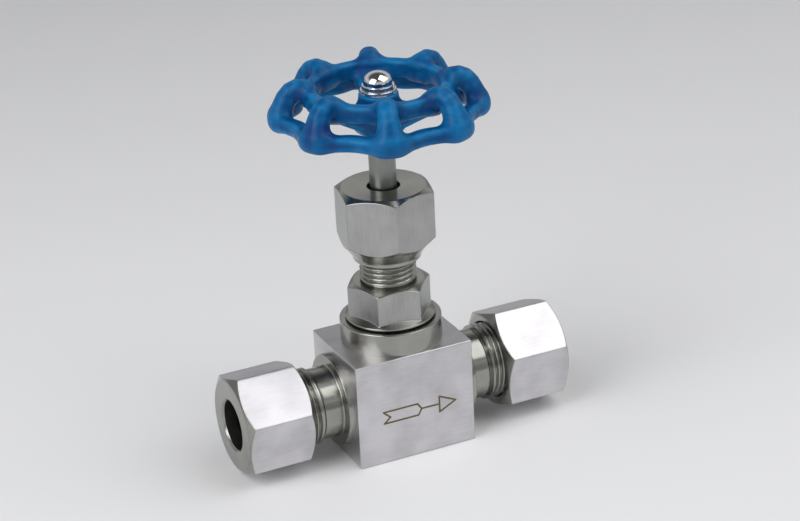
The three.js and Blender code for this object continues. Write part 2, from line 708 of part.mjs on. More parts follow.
const valve = new THREE.Group();
valve.add(piece('valve_body', valveBody(), brushedSteel));
valve.add(piece('bonnet_gasket', bonnetGasket(), copper));
valve.add(piece('bonnet', bonnet(), turnedSteel));
valve.add(piece('packing_washer', packingPiece(PACKING_BOTTOM, PACKING_WASHER_HEIGHT), innerSteel));
for (let k = 0; k < PACKING_RINGS; k += 1) {
  const bottom = RINGS_BOTTOM + k * PACKING_RING_HEIGHT;
  valve.add(piece(`packing_ring_${k + 1}`, packingPiece(bottom, PACKING_RING_HEIGHT), graphite));
}
valve.add(piece('gland_follower', glandFollower(), innerSteel));
valve.add(piece('packing_nut', packingNut(), brushedSteel));
valve.add(piece('needle', needle(), innerSteel));
valve.add(piece('stem', stem(), turnedSteel));
valve.add(piece('handwheel', handwheel(), blueEnamel));
valve.add(piece('flat_washer', flatWasher(), chrome));
valve.add(piece('spring_washer', springWasher(), chrome));
valve.add(piece('dome_nut', domeNut(), chrome));

// Each fitting lies on the pipe axis, with its own +Z turned to the side that it is on. That puts
// its own +X up at the inlet and down at the outlet, so the two turns run opposite ways about it.
function fitting(side, direction, turn) {
  const group = new THREE.Group();
  group.position.z = PIPE_HEIGHT;
  group.rotation.y = direction * Math.PI / 2;
  group.add(piece(`${side}_ferrule`, ferrule(), innerSteel));
  group.add(piece(`${side}_union_nut`, unionNut(turn), brushedSteel));
  return group;
}

valve.add(fitting('inlet', -1, 30 + UNION_TURN_INLET));
valve.add(fitting('outlet', 1, 30 - UNION_TURN_OUTLET));

export default valve;
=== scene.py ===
"""The looks of a needle valve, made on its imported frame. Laid out as a Blender add-on and run as a
script. Outlines are worked out in millimetres and laid down in metres."""

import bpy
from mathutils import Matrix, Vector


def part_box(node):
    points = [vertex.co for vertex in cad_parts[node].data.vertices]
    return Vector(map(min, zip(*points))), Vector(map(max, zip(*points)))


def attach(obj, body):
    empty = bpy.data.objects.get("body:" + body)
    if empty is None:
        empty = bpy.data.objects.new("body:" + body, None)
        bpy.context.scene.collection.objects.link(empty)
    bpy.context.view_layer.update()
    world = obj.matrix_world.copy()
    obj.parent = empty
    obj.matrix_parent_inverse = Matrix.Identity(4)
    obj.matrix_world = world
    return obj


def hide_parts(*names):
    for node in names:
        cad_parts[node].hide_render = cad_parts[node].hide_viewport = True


bl_info = {
    "name": "Needle valve looks",
    "version": (1, 0, 0),
    "blender": (4, 5, 0),
    "location": "3D View > Sidebar > Needle valve",
    "description": "Makes the visible pieces of a needle valve on its fixed frame",
    "category": "Object",
}

import math

import bmesh
import bpy
import numpy as np
from bpy.props import FloatProperty, FloatVectorProperty, PointerProperty
from mathutils import Matrix, Vector

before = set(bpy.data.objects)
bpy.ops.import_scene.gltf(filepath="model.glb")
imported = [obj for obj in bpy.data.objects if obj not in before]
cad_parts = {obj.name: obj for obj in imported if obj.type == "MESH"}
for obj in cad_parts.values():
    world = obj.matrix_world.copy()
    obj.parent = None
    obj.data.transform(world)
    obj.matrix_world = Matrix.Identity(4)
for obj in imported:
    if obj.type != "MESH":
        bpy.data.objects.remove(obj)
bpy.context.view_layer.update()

MM = 0.001
ROUND = 128       # steps round a turned piece
HEX_SIDE = 24     # steps along one side of a hexagon
HEX_POWER = 90    # the higher, the sharper a hexagon's corners
HEX_FACE = 0.475  # radius of a hexagon's round end face, as a share of its width across flats
CORNER_ROWS = 7   # rows of points that an eased corner takes
TUBE_BORE = 7.15  # radius of the bores that take a tube
SOFTBOX_DISTANCE = 1.15   # metres
X, Y, Z = range(3)


# ---- Sizes and colours --------------------------------------------------------------------


def linear(code):
    """An sRGB hex colour as linear red, green, blue and alpha."""
    channels = np.array([int(code[k:k + 2], 16) for k in (1, 3, 5)]) / 255
    dark = channels / 12.92
    light = ((channels + 0.055) / 1.055) ** 2.4
    return (*np.where(channels <= 0.04045, dark, light).tolist(), 1.0)


def span(node, axis):
    """A CAD node's lowest and highest place along an axis, in mm."""
    low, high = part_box(node)[:2]
    return low[axis] / MM, high[axis] / MM


def in_mm(*names):
    """Sizes from the panel, in mm."""
    return [getattr(bpy.context.scene.valve_sizes, name) / MM for name in names]


def tint_of(name):
    """A finish's colour from the panel."""
    return tuple(getattr(bpy.context.scene.valve_finishes, name))


def length(name, default, description):
    return FloatProperty(name=name, default=default * MM, description=description,
                         min=0.0, soft_max=0.2, precision=5, subtype="DISTANCE", unit="LENGTH")


def colour(name, default, description):
    return FloatVectorProperty(name=name, default=linear(default), description=description,
                               size=4, min=0.0, max=1.0, subtype="COLOR")


def angle(name, default, description):
    return FloatProperty(name=name, default=math.radians(default), description=description,
                         subtype="ANGLE", unit="ROTATION")


class ValveSizes(bpy.types.PropertyGroup):
    """Sizes that a user would change. The rest come from the frame."""

    block_width: length("Block width", 36, "Width of the block along the pipe")
    block_height: length("Block height", 31.5, "Height of the block without its boss")
    block_edge: length("Block edge", 0.4, "Rounding of the block's edges")
    boss: length("Boss radius", 14.45, "Radius of the boss on top of the block")
    pipe_height: length("Pipe height", 16, "Height of the pipe axis over the underside")
    pitch: length("Thread pitch", 1.5, "Pitch of the threads that show")
    thread_depth: length("Thread depth", 0.85, "Depth of the threads that show")
    edge: length("Machined edge", 0.18, "Rounding of the edges of turned and milled pieces")
    mark_line: length("Mark line", 0.55, "Width of the flow arrow's engraved line")
    mark_depth: length("Mark depth", 0.16, "Depth of the flow arrow's engraved line")
    bonnet_flats: length("Bonnet flats", 21, "The bonnet's width across flats")
    packing_flats: length("Packing nut flats", 25, "The packing nut's width across flats")
    union_flats: length("Union nut flats", 27, "The union nuts' width across flats")
    blend: length("Casting blend", 3.2, "How far the handwheel's members flow into each other")
    voxel: length("Casting step", 0.34, "Size of the handwheel's faces")


class ValveFinishes(bpy.types.PropertyGroup):
    """Colours of the materials, as the bare finish has them, apart from two with painted light: the
    enamel's edge highlight and the inner steel's shade.
    """

    ground: colour("Ground steel", "#cfcdd0", "Stainless steel, milled and ground flat")
    nut: colour("Drawn steel", "#a9aaa8", "Drawn stainless bar, on the upright flats")
    turned: colour("Turned steel", "#a3a39d", "Stainless steel, turned on a lathe")
    stem: colour("Stem steel", "#8b8d8a", "Stainless steel of the stem, turned and worn")
    inner: colour("Inner steel", "#5f5e5c", "Stainless steel inside the valve")
    chrome: colour("Chrome", "#eceef0", "Bright chrome plate")
    # Painted shade: the steel in the bores and inside the valve is darker
    zinc: colour("Zinc", "#dadcdf", "Bright zinc plate of the washers")
    enamel: colour("Enamel", "#034a80", "Blue stoving enamel on cast iron")
    # Painted highlight: the lighter blue laid along the handwheel's convex edges
    enamel_edge_highlight: colour("Enamel, painted edge highlight", "#086fa8", "Painted highlight along the convex edges")
    etch: colour("Etched mark", "#877759", "Floor of the electro-etched flow arrow")
    graphite: colour("Graphite", "#2c2c2e", "Braided graphite packing")
    copper: colour("Copper", "#7c5844", "Annealed copper gasket")


class StageSettings(bpy.types.PropertyGroup):
    """Camera, lights and floor."""

    azimuth: angle("Camera azimuth", -24.294, "Camera's turn to the left of the front")
    elevation: angle("Camera elevation", 24.179, "Camera's height over the horizon")
    roll: angle("Camera roll", -2.979, "Camera's turn about its own axis")
    distance: length("Camera distance", 669.255, "Camera's distance, along its own axis")
    aside: length("Camera aside", 0.914, "Camera's shift to its own right")
    above: length("Camera above", 49.738, "Camera's shift along its own upright")
    lens: FloatProperty(name="Lens", default=104.2, description="Focal length",
                        subtype="DISTANCE_CAMERA")
    # The far colour is painted shade: the floor darkens away from the camera
    floor: colour("Floor", "#f5f5f6", "Pale paper floor, near")
    floor_far_painted_shade: colour("Floor, far, painted shade", "#dedee0", "Pale paper floor, far")
    key: FloatProperty(name="Key light", default=6.4, description="Power of the right softbox",
                       unit="POWER")
    fill: FloatProperty(name="Fill light", default=8.0, description="Power of the left softbox",
                        unit="POWER")


# ---- Surfaces -----------------------------------------------------------------------------


def eased(corners, radius, closed=True):
    """Rounds the corners of outlines given as (corner, column, [radius, height]). Each corner P
    becomes P + (1-t)^2 a + t^2 b for t from 0 to 1, where a and b reach `radius` back and forth
    along its two sides, but at most 0.4 of them. A point a little further out on each side keeps
    the flat beyond it flat. An open outline keeps its two ends sharp."""
    radius = np.broadcast_to(np.asarray(radius, float).reshape(-1, 1, 1), (len(corners), 1, 1))

    def reach(side):
        size = np.linalg.norm(side, axis=-1, keepdims=True)
        return side / np.maximum(size, 1e-9) * np.minimum(radius, 0.4 * size)

    a = reach(np.roll(corners, 1, 0) - corners)
    b = reach(np.roll(corners, -1, 0) - corners)
    if not closed:
        a[[0, -1]] = 0
        b[[0, -1]] = 0
    t = np.linspace(0, 1, CORNER_ROWS - 2)[:, None, None, None]
    curve = corners + (1 - t) ** 2 * a + t ** 2 * b
    rows = np.concatenate([[corners + 1.25 * a], curve, [corners + 1.25 * b]])
    return rows.transpose(1, 0, 2, 3).reshape(-1, corners.shape[1], 2)


def outline(*corners, columns=ROUND):
    """[radius, height] corners as (corner, column, 2). A radius or height may be an array that
    gives one value for each column."""
    flat = [np.broadcast_to(np.asarray(v, float), (columns,)) for c in corners for v in c]
    return np.array(flat).reshape(-1, 2, columns).transpose(0, 2, 1)


def round_angles():
    return np.arange(ROUND) * 2 * np.pi / ROUND


def hex_angles(turn):
    """Angles round a hexagon whose first corner is at `turn`, close together at the corners: in
    each sixth, 60 (t - 0.92 sin(2 pi t) / 2 pi) degrees for t from 0 to 1."""
    t = np.arange(HEX_SIDE) / HEX_SIDE
    along = 60 * (t - 0.92 * np.sin(2 * np.pi * t) / (2 * np.pi))
    return np.radians((turn + 60 * np.arange(6)[:, None] + along[None, :]).ravel())


def hex_radius(angles, flats, turn):
    """A hexagon's radius at each angle, with softened corners: half its width across flats over
    the p-norm of the six cosines that point to its sides."""
    sides = np.radians(turn + 30 + 60 * np.arange(6))
    facing = np.maximum(np.cos(angles[:, None] - sides[None, :]), 0)
    return flats / 2 / (facing ** HEX_POWER).sum(1) ** (1 / HEX_POWER)


def hexagon(flats, turn):
    """A hexagon's angles, its radius at each, its end face's radius, and how far a chamfer of 30
    degrees drops from the face at each angle."""
    angles = hex_angles(turn)
    side = hex_radius(angles, flats, turn)
    face = flats * HEX_FACE
    return angles, side, face, (side - face) * math.tan(math.radians(30))


def hexagon_finish(path, start, end):
    """The finish of each row of an outline: 0, milled, between two (corner, row) places, and 1,
    turned, elsewhere."""
    kind = np.full(len(path), 1)
    kind[start[0] * CORNER_ROWS + start[1]:end[0] * CORNER_ROWS + end[1]] = 0
    return kind


def thread(angles, crest, start, end, pitch, depth):
    """Rows of a screw thread: the radius is crest - depth g w^1.3 with the wave
    w = 0.5 - 0.5 cos 2 pi (h/pitch - a/2 pi). g grows from 0 to 1 over the first half turn and
    falls again over the last."""
    h = np.arange(start, end + 1e-6, pitch / 12)[:, None]
    wave = 0.5 - 0.5 * np.cos(2 * np.pi * (h / pitch) - angles[None, :])
    fade = np.clip((h - start) / pitch * 2, 0, 1) * np.clip((end - h) / pitch * 2, 0, 1)
    r = crest - depth * fade * wave ** 1.3
    return np.stack([r, np.broadcast_to(h, r.shape)], -1)


def about_stem(path, angles):
    """Each (r, h) at angle a lies at (r cos a, r sin a, h)."""
    r, h = path[..., 0], path[..., 1]
    return np.stack([r * np.cos(angles), r * np.sin(angles), h], -1)


def about_pipe(path, angles, side, height):
    """Each (r, h) at angle a, counted from the front upwards, lies at
    (side h, -r cos a, height + r sin a)."""
    r, h = path[..., 0], path[..., 1]
    return np.stack([side * h, -r * np.cos(angles), height + r * np.sin(angles)], -1)


def rounded_block(width, depth, height, edge):
    """A block on the floor with every edge rounded: a rounded rectangle carried along the pipe.
    Its corners have their centres `edge` inside the block and the radius edge sin p, at the place
    width/2 - edge (1 - cos p) for p from 0 to 90 degrees at either end. Extra rows close to the
    rounding keep the flats flat."""
    p = np.radians(np.linspace(0, 90, 5))
    guard = 0.5
    inward = np.array([guard, *np.zeros(10), guard])
    radius = np.array([0.0, *edge * np.sin(p), *edge * np.sin(p[::-1]), 0.0])
    place = width / 2 - edge * (1 - np.cos(p))
    x = np.array([-width / 2, *-place, *place[::-1], width / 2])
    turn = np.radians(np.linspace(0, 90, 5))
    cosine = np.array([1.0, *np.cos(turn), 0.0])
    sine = np.array([0.0, *np.sin(turn), 1.0])
    slide_y = np.array([0.0, *np.zeros(5), -guard])
    slide_z = np.array([-guard, *np.zeros(5), 0.0])
    rows = []
    for quarter in range(4):
        c, s = [(1, 0), (0, 1), (-1, 0), (0, -1)][quarter]
        sy, sz = [(1, 1), (-1, 1), (-1, -1), (1, -1)][quarter]
        cy = sy * (depth / 2 - edge - inward)[:, None]
        cz = sz * (height / 2 - edge - inward)[:, None]
        ly = radius[:, None] * cosine + slide_y
        lz = radius[:, None] * sine + slide_z
        rows.append(np.stack([cy + c * ly - s * lz, cz + s * ly + c * lz], -1))
    section = np.concatenate(rows, 1)
    xs = np.broadcast_to(x[:, None], section.shape[:2])
    points = np.stack([xs, section[..., 0], section[..., 1] + height / 2], -1)
    pole = np.broadcast_to([0, 0, height / 2], (1, points.shape[1], 3))
    ends = [pole + [-width / 2, 0, 0], points, pole + [width / 2, 0, 0]]
    return np.concatenate(ends)


def strips(lines, width, front, depth):
    """Cutters for engraved lines on the front face: one bar for each straight line and one round
    post at each of its ends. Returns points and faces."""
    points, faces = [], []
    turn = np.arange(12) * np.pi / 6
    disc = np.stack([np.cos(turn), np.sin(turn)], -1) * width / 2
    for (x0, z0), (x1, z1) in lines:
        along = np.array([x1 - x0, z1 - z0]) / np.hypot(x1 - x0, z1 - z0)
        side = np.array([-along[1], along[0]]) * width / 2
        ends = np.array([[x0, z0], [x1, z1]])
        bar = np.array([ends[0] + side, ends[0] - side, ends[1] - side, ends[1] + side])
        for loop in (bar, disc + ends[0], disc + ends[1]):
            n = len(loop)
            first = sum(len(p) for p in points)
            for y in (front - 0.4, front + depth):
                points.append(np.stack([loop[:, 0], np.full(n, y), loop[:, 1]], -1))
            k = np.arange(n)
            nxt = (k + 1) % n
            faces.append((first + k).tolist())
            faces.append((first + n + k[::-1]).tolist())
            faces += (first + np.stack([nxt, k, k + n, nxt + n], -1)).tolist()
    return np.concatenate(points), faces


# ---- Meshes -------------------------------------------------------------------------------


def shell_arrays(points, closed):
    """Corners and surface coordinates of the cells of a grid whose columns run all the way round,
    and whose rows do so too if it is closed. u runs round the piece and v along its outline."""
    rows, columns = points.shape[:2]
    i = np.arange(rows if closed else rows - 1)[:, None]
    j = np.arange(columns)[None, :]
    down, right = (i + 1) % rows, (j + 1) % columns
    quads = np.stack(np.broadcast_arrays(
        i * columns + j, i * columns + right, down * columns + right, down * columns + j), -1)
    u0, v0 = j / columns, i / rows
    u1, v1 = (j + 1) / columns, (i + 1) / rows
    uv = [np.broadcast_arrays(u, v) for u, v in ((u0, v0), (u1, v0), (u1, v1), (u0, v1))]
    return quads.reshape(-1, 4), np.array(uv).transpose(2, 3, 0, 1).reshape(-1, 4, 2)


def lay(name, shells, finishes, extra=None, sharp=32):
    """Makes one mesh object out of closed shells, and of an `extra` mesh if there is one. A shell
    is (points in mm, closed, finish), where finish is one material's place in the list, or one for
    each row of the grid."""
    points, quads, uvs, kinds = [], [], [], []
    count = 0
    for grid, closed, kind in shells:
        q, uv = shell_arrays(grid, closed)
        rows = len(q) // grid.shape[1]
        kind = np.broadcast_to(np.asarray(kind)[..., None] if np.ndim(kind) else kind,
                               (len(grid) if np.ndim(kind) else rows, grid.shape[1]))[:rows]
        points.append(grid.reshape(-1, 3))
        quads.append(q + count)
        uvs.append(uv)
        kinds.append(kind.reshape(-1))
        count += grid.shape[0] * grid.shape[1]
    points = np.concatenate(points) * MM
    quads = np.concatenate(quads).astype(np.int32)
    mesh = bpy.data.meshes.new(name)
    mesh.vertices.add(len(points))
    mesh.vertices.foreach_set("co", points.astype(np.float32).ravel())
    mesh.loops.add(quads.size)
    mesh.loops.foreach_set("vertex_index", quads.ravel())
    mesh.polygons.add(len(quads))
    mesh.polygons.foreach_set("loop_start", np.arange(0, quads.size, 4, dtype=np.int32))
    mesh.polygons.foreach_set("material_index", np.concatenate(kinds).astype(np.int32))
    mesh.update(calc_edges=True)
    mesh.uv_layers.new(name="surface")
    mesh.uv_layers["surface"].data.foreach_set(
        "uv", np.concatenate(uvs).astype(np.float32).ravel())
    merged = bmesh.new()
    merged.from_mesh(mesh)
    bmesh.ops.remove_doubles(merged, verts=merged.verts, dist=1e-6)
    bmesh.ops.dissolve_degenerate(merged, edges=merged.edges, dist=1e-7)
    bmesh.ops.recalc_face_normals(merged, faces=merged.faces)
    if extra is not None:
        merged.from_mesh(extra)
    merged.to_mesh(mesh)
    merged.free()
    mesh.shade_smooth()
    mesh.set_sharp_from_angle(angle=math.radians(sharp))
    for finish in finishes:
        mesh.materials.append(finish)
    made = bpy.data.objects.new(name, mesh)
    bpy.context.scene.collection.objects.link(made)
    return made


def seat(piece, body, node):
    """The piece rides on its body and stands for the CAD node, which it hides."""
    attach(piece, body)
    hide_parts(node)


def fit(node, body, slot, shells, finishes, **settings):
    """Lays the finished piece of a CAD node and seats it."""
    seat(lay(f"{node}_finish", shells, finishes, **settings), body, node)


def fit_turned(node, body, slot, corners, finish, edge, place=about_stem, **settings):
    """Fits a closed outline turned about the stem, or about the pipe if `place` says so."""
    path = eased(outline(*corners), edge)
    fit(node, body, slot, [(place(path, round_angles(), **settings), True, 0)], [finish])


# ---- Materials ----------------------------------------------------------------------------


def add(tree, kind, values=None, links=None):
    """Adds a node, sets its properties or plain inputs, and joins its inputs to other outputs. A
    node named as a source stands for its first output. "stops" are a ramp's places and colours."""
    made = tree.nodes.new(f"ShaderNode{kind}")
    for key, value in (values or {}).items():
        if key == "stops":
            ramp = made.color_ramp.elements
            while len(ramp) < len(value):
                ramp.new(0.5)
            for stop, (place, tint) in zip(ramp, value):
                stop.position, stop.color = place, tint
        elif isinstance(key, str) and hasattr(made, key):
            setattr(made, key, value)
        else:
            made.inputs[key].default_value = value
    for key, source in (links or {}).items():
        if isinstance(source, bpy.types.Node):
            source = source.outputs[0]
        tree.links.new(source, made.inputs[key])
    return made


def material(name, dress):
    """The material of that name. On first use, dress(tree, where) adds its nodes, which read the
    Object coordinates `where`, and returns its shader's own values and its links."""
    made = bpy.data.materials.get(name)
    if made:
        return made
    made = bpy.data.materials.new(name)
    made.use_nodes = True
    tree = made.node_tree
    tree.nodes.clear()
    where = add(tree, "TexCoord").outputs["Object"]
    shader = add(tree, "BsdfPrincipled", *dress(tree, where))
    add(tree, "OutputMaterial", None, {"Surface": shader})
    return made


def shade(tint, factor):
    """A colour made darker or paler."""
    return [min(1.0, c * factor) for c in tint[:3]] + [1.0]


def steel(name, tint, grain, rough, spread, height, axis=None, anisotropy=0.0):
    """Stainless steel. The grain is a noise drawn out along one direction, or into rings about an
    axis, where it reads the distance from the axis and the place along it. A second, broad noise
    clouds the colour and the gloss as handling and stock scale do."""
    def dress(tree, where):
        source = where
        if axis:
            lift = bpy.context.scene.valve_sizes.pipe_height if axis == "X" else 0.0
            centred = add(tree, "Mapping", {"Location": (0, 0, -lift)}, {"Vector": where})
            split = add(tree, "SeparateXYZ", None, {"Vector": centred}).outputs
            across = "X" if axis == "Z" else "Z"
            flat = add(tree, "CombineXYZ", None, {"X": split[across], "Y": split["Y"]})
            far = add(tree, "VectorMath", {"operation": "LENGTH"}, {0: flat})
            source = add(tree, "CombineXYZ", None, {"X": far.outputs["Value"], "Y": split[axis]})
        drawn = add(tree, "Mapping", {"Scale": grain}, {"Vector": source})
        lines = add(tree, "TexNoise", {"Scale": 1.0, "Detail": 4.0, "Roughness": 0.62},
                    {"Vector": drawn})
        cloud = add(tree, "TexNoise", {"Scale": 110.0, "Detail": 2.0,
                                                 "Roughness": 0.5}, {"Vector": where})
        both = add(tree, "Math", {"operation": "MULTIPLY_ADD", 1: 0.55}, {0: lines, 2: cloud})
        ramp = add(tree, "ValToRGB", {"stops": [
            (0.52, shade(tint, 0.80)), (0.98, shade(tint, 1.07))]}, {"Fac": both})
        gloss = add(tree, "MapRange", {
            "From Min": 0.5, "From Max": 1.05, "To Min": rough - spread,
            "To Max": rough + spread}, {"Value": both})
        bump = add(tree, "Bump", {"Strength": 1.0, "Distance": height * MM}, {"Height": lines})
        values = {"Metallic": 1.0, "Anisotropic": anisotropy}
        links = {"Base Color": ramp, "Roughness": gloss, "Normal": bump}
        if anisotropy:
            values["Anisotropic Rotation"] = 0.25
            links["Tangent"] = add(tree, "Tangent", {"direction_type": "UV_MAP",
                                                               "uv_map": "surface"})
        return values, links
    return material(name, dress)


def ground_steel(axis):
    """316 stainless steel bar, milled and ground: fine straight lines along the grinding and a
    soft, pale, slightly cloudy sheen. The lines are 0.3 mm apart, coarser than grit 180 leaves
    them, so that they show."""
    fine, long = 1 / 0.0003, 1 / 0.006
    grain = {"X": (long, fine, fine), "Z": (fine, fine, long)}[axis]
    return steel(f"ground_steel_{axis}", tint_of("ground"), grain, 0.36, 0.03, 0.008)


def drawn_steel():
    """316 stainless hexagon bar, drawn and buffed along its length: the upright flats of the
    bonnet and the packing nut, a little darker than the ground block and more streaked. The
    streaks are 0.4 mm apart."""
    fine, long = 1 / 0.0004, 1 / 0.005
    return steel("drawn_steel", tint_of("nut"), (fine, fine, long), 0.3, 0.05, 0.008)


def turned_steel(axis):
    """316 stainless steel off the lathe: rings a feed of 0.25 mm apart, which draw each light out
    into a bright streak along the piece, between darker ones."""
    return steel(f"turned_steel_{axis}", tint_of("turned"), (1 / 0.00025,) * 3, 0.22, 0.05, 0.01,
                 axis, 0.6)


def stem_steel():
    """316 stainless steel of the stem: turned, then rubbed dull along its length by the packing,
    so that a light leaves upright streaks, 0.5 mm apart."""
    fine, long = 1 / 0.0005, 1 / 0.012
    return steel("stem_steel", tint_of("stem"), (fine, fine, long), 0.34, 0.08, 0.01)


def inner_steel(axis):
    """316 stainless steel inside the valve, left as machined: duller rings, 0.4 mm apart. Its
    darker tone is painted shade in the bores and on the pieces inside the valve."""
    return steel(f"inner_steel_{axis}", tint_of("inner"), (1 / 0.0004,) * 3, 0.42, 0.06, 0.015,
                 axis)


def etched_steel():
    """Electro-etched steel, as the marking current leaves it: brown-grey, rough and matt."""
    def dress(tree, where):
        tint = tint_of("etch")
        spots = add(tree, "TexNoise", {"Scale": 2600.0, "Detail": 3.0}, {"Vector": where})
        ramp = add(tree, "ValToRGB", {"stops": [
            (0.35, shade(tint, 0.7)), (0.7, tint)]}, {"Fac": spots})
        rough = add(tree, "MapRange", {"To Min": 0.5, "To Max": 0.75}, {"Value": spots})
        return {"Metallic": 0.35}, {"Base Color": ramp, "Roughness": rough}
    return material("etched_steel", dress)


def plated(name, tint, rough, wave):
    """Bright plate over a polished piece. Faint waves about 1.4 mm long bend its mirror image as
    they do on a stamped or turned part."""
    def dress(tree, where):
        waves = add(tree, "TexNoise", {"Scale": 700.0, "Detail": 2.0}, {"Vector": where})
        mist = add(tree, "TexNoise", {"Scale": 2400.0, "Detail": 3.0}, {"Vector": where})
        ramp = add(tree, "ValToRGB", {"stops": [
            (0.3, shade(tint, 0.93)), (0.7, tint)]}, {"Fac": waves})
        gloss = add(tree, "MapRange", {"To Min": rough * 0.7, "To Max": rough * 1.3},
                    {"Value": mist})
        bump = add(tree, "Bump", {"Strength": 1.0, "Distance": wave * MM}, {"Height": waves})
        return {"Metallic": 1.0}, {"Base Color": ramp, "Roughness": gloss, "Normal": bump}
    return material(name, dress)


def chrome_plate():
    """Bright chrome over polished steel: a near mirror."""
    return plated("chrome_plate", tint_of("chrome"), 0.05, 0.01)


def zinc_plate():
    """Bright zinc over stamped steel: paler and softer than chrome."""
    return plated("zinc_plate", tint_of("zinc"), 0.17, 0.012)


def stove_enamel():
    """Stoving enamel on sand-cast iron: a deep blue with a painted highlight of lighter blue along
    the convex edges, over the slow waves of the casting, about 3.5 mm long, and an orange peel of
    0.8 mm."""
    def dress(tree, where):
        deep, painted_highlight = tint_of("enamel"), tint_of("enamel_edge_highlight")
        pooled = [deep[0] * 8, deep[1] * 0.5, deep[2] * 0.8, 1.0]
        # The convex edges, marked on the wheel's mesh, take a painted highlight
        edge = add(tree, "Attribute", {"attribute_name": "edge"})
        slow = add(tree, "TexNoise", {"Scale": 1 / 0.0035, "Detail": 2.5,
                                                "Roughness": 0.5}, {"Vector": where})
        peel = add(tree, "TexNoise", {"Scale": 1 / 0.0008, "Detail": 2.0}, {"Vector": where})
        pool = add(tree, "TexNoise", {"Scale": 1 / 0.009, "Detail": 3.0}, {"Vector": where})
        # Painted highlight towards the edges, with random darker pools elsewhere
        draw = add(tree, "Math", {"operation": "MULTIPLY_ADD", 1: 1.3},
                   {0: edge.outputs["Fac"], 2: pool})
        ramp = add(tree, "ValToRGB", {"stops": [
            (0.3, pooled), (0.5, deep), (0.85, painted_highlight)]}, {"Fac": draw})
        gloss = add(tree, "MapRange", {"To Min": 0.3, "To Max": 0.5}, {"Value": slow})
        swell = add(tree, "Bump", {"Strength": 1.0, "Distance": 0.5 * MM}, {"Height": slow})
        fine = add(tree, "Bump", {"Strength": 1.0, "Distance": 0.03 * MM},
                   {"Height": peel, "Normal": swell})
        values = {"Metallic": 0.0, "IOR": 1.5, "Specular IOR Level": 0.15, "Coat Weight": 0.06,
                  "Coat Roughness": 0.2}
        return values, {"Base Color": ramp, "Roughness": gloss, "Normal": fine}
    return material("stove_enamel", dress)


def graphite_braid():
    """Die-formed graphite packing: dark, slightly silvery, with the diagonal strands of its
    braid, 1.2 mm apart, pressed nearly flat."""
    def dress(tree, where):
        tint = tint_of("graphite")
        strands = add(tree, "TexWave", {
            "wave_type": "BANDS", "bands_direction": "DIAGONAL", "Scale": 1 / 0.0024,
            "Distortion": 2.5, "Detail": 2.0}, {"Vector": where}).outputs["Fac"]
        ramp = add(tree, "ValToRGB", {"stops": [
            (0.0, shade(tint, 0.5)), (1.0, shade(tint, 1.6))]}, {"Fac": strands})
        rough = add(tree, "MapRange", {"To Min": 0.5, "To Max": 0.72}, {"Value": strands})
        bump = add(tree, "Bump", {"Strength": 0.8, "Distance": 0.08 * MM}, {"Height": strands})
        return {"Metallic": 0.25}, {"Base Color": ramp, "Roughness": rough, "Normal": bump}
    return material("graphite_braid", dress)


def annealed_copper():
    """Annealed copper sheet, punched into a gasket: warm, soft-looking, with faint oxide
    clouds a few millimetres wide."""
    def dress(tree, where):
        tint = tint_of("copper")
        cloud = add(tree, "TexNoise", {"Scale": 320.0, "Detail": 4.0}, {"Vector": where})
        ramp = add(tree, "ValToRGB", {"stops": [
            (0.3, shade(tint, 0.62)), (0.7, tint)]}, {"Fac": cloud})
        rough = add(tree, "MapRange", {"To Min": 0.3, "To Max": 0.5}, {"Value": cloud})
        return {"Metallic": 1.0}, {"Base Color": ramp, "Roughness": rough}
    return material("annealed_copper", dress)


# ---- Handwheel's field --------------------------------------------------------------------


def box_field(a, b, half_a, half_b, rounding):
    """Distance to a rounded rectangle in the plane (a, b)."""
    qa = np.abs(a) - (half_a - rounding)
    qb = np.abs(b) - (half_b - rounding)
    outside = np.hypot(np.maximum(qa, 0), np.maximum(qb, 0))
    return outside + np.minimum(np.maximum(qa, qb), 0) - rounding


def blended(a, b, k):
    """The smooth lower of two distances: min(a, b) - h^2 k / 4 with h = max(1 - |a-b|/k, 0)."""
    h = np.maximum(1 - np.abs(a - b) / k, 0)
    return np.minimum(a, b) - h * h * k / 4


def folded(p, turn, count):
    """Points turned into one of `count` equal sectors about the stem: along its middle, across
    it, and the height."""
    r = np.hypot(p[:, 0], p[:, 1])
    a = np.arctan2(p[:, 1], p[:, 0]) - math.radians(turn)
    part = 2 * np.pi / count
    a = (a + part / 2) % part - part / 2
    return r * np.cos(a), r * np.sin(a), p[:, 2]


# Counts, and the turn of the first one about the stem in degrees
LOBES, LOBE_TURN = 8, 26.3
SPOKES, SPOKE_TURN = 3, 71.3
RING, HUB = 18.8, 5.5             # radius of the ring's middle line, and of the hub
RING_HEIGHT, BAND_HEIGHT, HUB_HEIGHT = 105.3, 99.1, 99.4   # middles of the three
SQUARE_HOLE = 2.83                # half the side of the hub's hole
# The middle line of a lobe: distance from the stem, height, and half the thickness there
LOBE_LINE = np.array([
    (18.8, 104.8, 1.9), (19.3, 106.2, 2.3), (20.4, 107.3, 2.55), (22.0, 107.45, 2.65),
    (23.7, 106.6, 2.75), (25.1, 104.9, 2.8), (26.1, 102.8, 2.85), (26.75, 100.9, 2.9),
    (26.9, 99.6, 2.9)])


